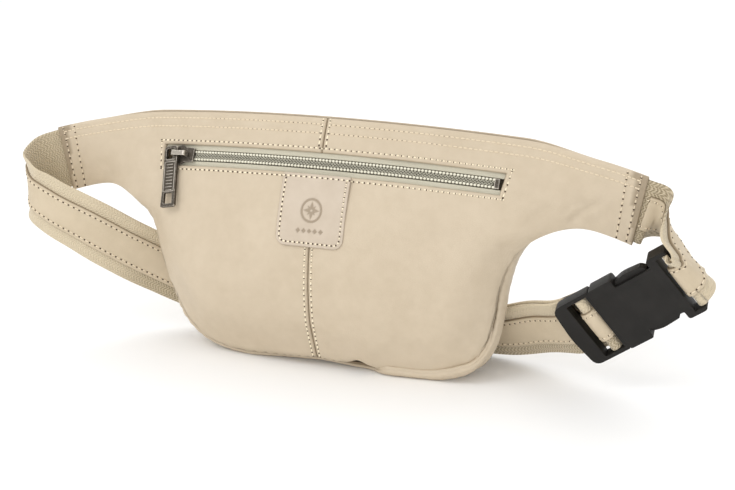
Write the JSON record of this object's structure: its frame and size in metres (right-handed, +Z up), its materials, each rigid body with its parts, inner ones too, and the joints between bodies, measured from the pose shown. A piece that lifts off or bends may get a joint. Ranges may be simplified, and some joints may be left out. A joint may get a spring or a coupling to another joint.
{
  "type": "money belt",
  "caption": "Leather waist bag with a curved front zip, a stitched label patch, two wings and a leather-faced webbing belt closed by a side-release buckle",
  "frame": {"origin": "middle of the flat base of the pouch, on the surface the bag stands on", "axes": "+X along the bag towards the buckle, -Y out of the front of the bag, +Z up"},
  "size_m": [0.4414, 0.0683, 0.1524],
  "materials": {
    "leather": "smooth pale beige leather, matt",
    "lining": "plain woven cotton",
    "zip_tape": "woven grey-green zip tape",
    "zip_coil": "moulded nylon coil with pale sewing thread",
    "antique_metal": "antique gunmetal plating, satin",
    "webbing": "herringbone woven webbing",
    "black_plastic": "moulded acetal, satin black"
  },
  "bodies": {
    "bag": {"front_panel_left": "leather", "front_panel_right": "leather", "back_panel": "leather", "gusset": "leather", "label_patch": "leather", "left_strap_inner_leather": "leather", "left_strap_outer_leather": "leather", "right_strap_inner_leather": "leather", "right_strap_outer_leather": "leather", "lining": "lining", "zip_tape_upper": "zip_tape", "zip_tape_lower": "zip_tape", "zip_coil_upper": "zip_coil", "zip_coil_lower": "zip_coil", "zip_top_stop_upper": "antique_metal", "zip_top_stop_lower": "antique_metal", "zip_bottom_stop": "antique_metal", "left_strap_webbing": "webbing", "right_strap_webbing": "webbing", "buckle_male_frame": "black_plastic"},
    "zip_slider": {"zip_slider_body": "antique_metal", "zip_slider_bridge": "antique_metal"},
    "puller": {"zip_puller": "antique_metal"},
    "upper_arm": {"buckle_arm_upper": "black_plastic"},
    "lower_arm": {"buckle_arm_lower": "black_plastic"},
    "buckle_female": {"buckle_female_body": "black_plastic"}
  },
  "joints": [
    {"name": "zip_travel", "type": "hinge", "parent": "bag", "child": "zip_slider", "pos_m": [0, 0.41159, -0.0983], "axis": [0, 0.4772, 0.8788], "range_deg": [0, 23.1], "deforming": ["zip_coil_upper", "zip_coil_lower"]},
    {"name": "puller_swing", "type": "hinge", "parent": "zip_slider", "child": "puller", "pos_m": [-0.09881, 0.00269, 0.12372], "axis": [-0.1364, 0.4969, 0.857], "range_deg": [0, 140]},
    {"name": "upper_arm_flex", "type": "hinge", "parent": "bag", "child": "upper_arm", "pos_m": [0.16771, 0.00238, 0.05989], "axis": [0.0889, -0.9719, -0.2178], "range_deg": [-7.5, 0], "stiffness_Nm_per_rad": 0.6},
    {"name": "lower_arm_flex", "type": "hinge", "parent": "bag", "child": "lower_arm", "pos_m": [0.18439, 0.00901, 0.03711], "axis": [0.0889, -0.9719, -0.2178], "range_deg": [0, 7.5], "stiffness_Nm_per_rad": 0.6},
    {"name": "buckle_release", "type": "slide", "parent": "bag", "child": "buckle_female", "axis": [0.8132, -0.0554, 0.5793], "range_m": [0, 0.038], "deforming": ["right_strap_webbing", "right_strap_inner_leather", "right_strap_outer_leather", "buckle_arm_upper", "buckle_arm_lower"]}
  ],
  "couplings": [
    {"joint": "lower_arm_flex", "follows": "upper_arm_flex", "ratio": -1}
  ]
}
